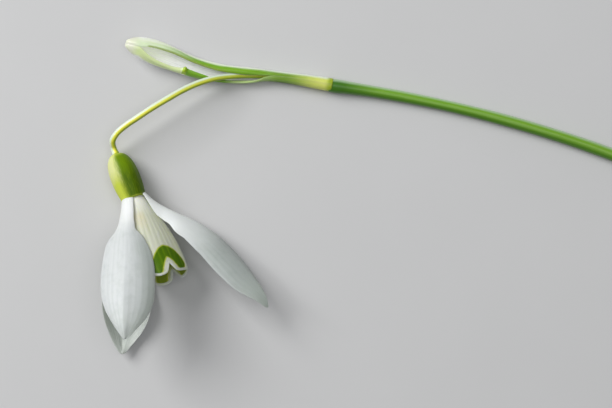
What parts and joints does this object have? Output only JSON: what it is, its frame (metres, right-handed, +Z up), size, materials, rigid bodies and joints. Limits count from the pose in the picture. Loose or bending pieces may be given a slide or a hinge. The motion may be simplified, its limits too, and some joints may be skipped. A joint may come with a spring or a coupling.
{
  "type": "snowdrop flower",
  "caption": "Picked snowdrop lying on its side: a leafless stem, a spathe, and a nodding white flower on a thin stalk.",
  "frame": {"origin": "bottom centre of the flower's bounding box, on the surface it lies on", "axes": "+X along the stem towards its cut end, +Y towards the spathe's side and away from the petals' tips, +Z up from the surface"},
  "size_m": [0.1208, 0.0452, 0.0126],
  "materials": {
    "scape": "smooth, slightly glossy dark green plant stem",
    "spathe": "thin papery bract with green keels and a pale, half see-through membrane",
    "pedicel": "smooth, glossy yellow-green stalk",
    "ovary": "smooth, glossy olive green",
    "outer_tepal": "satin, fleshy white petal with fine veins",
    "inner_tepal": "satin greenish white petal with a green mark at its notch",
    "stamen": "matte orange-yellow",
    "style": "satin greenish white"
  },
  "bodies": {
    "root": {"scape": "scape", "spathe": "spathe", "pedicel": "pedicel", "ovary": "ovary", "outer_tepal_upper": "outer_tepal", "outer_tepal_lower": "outer_tepal", "outer_tepal_side": "outer_tepal", "inner_tepal_front": "inner_tepal", "inner_tepal_left": "inner_tepal", "inner_tepal_back": "inner_tepal", "stamen_1": "stamen", "stamen_2": "stamen", "stamen_3": "stamen", "stamen_4": "stamen", "stamen_5": "stamen", "stamen_6": "stamen", "style": "style"}
  },
  "joints": []
}
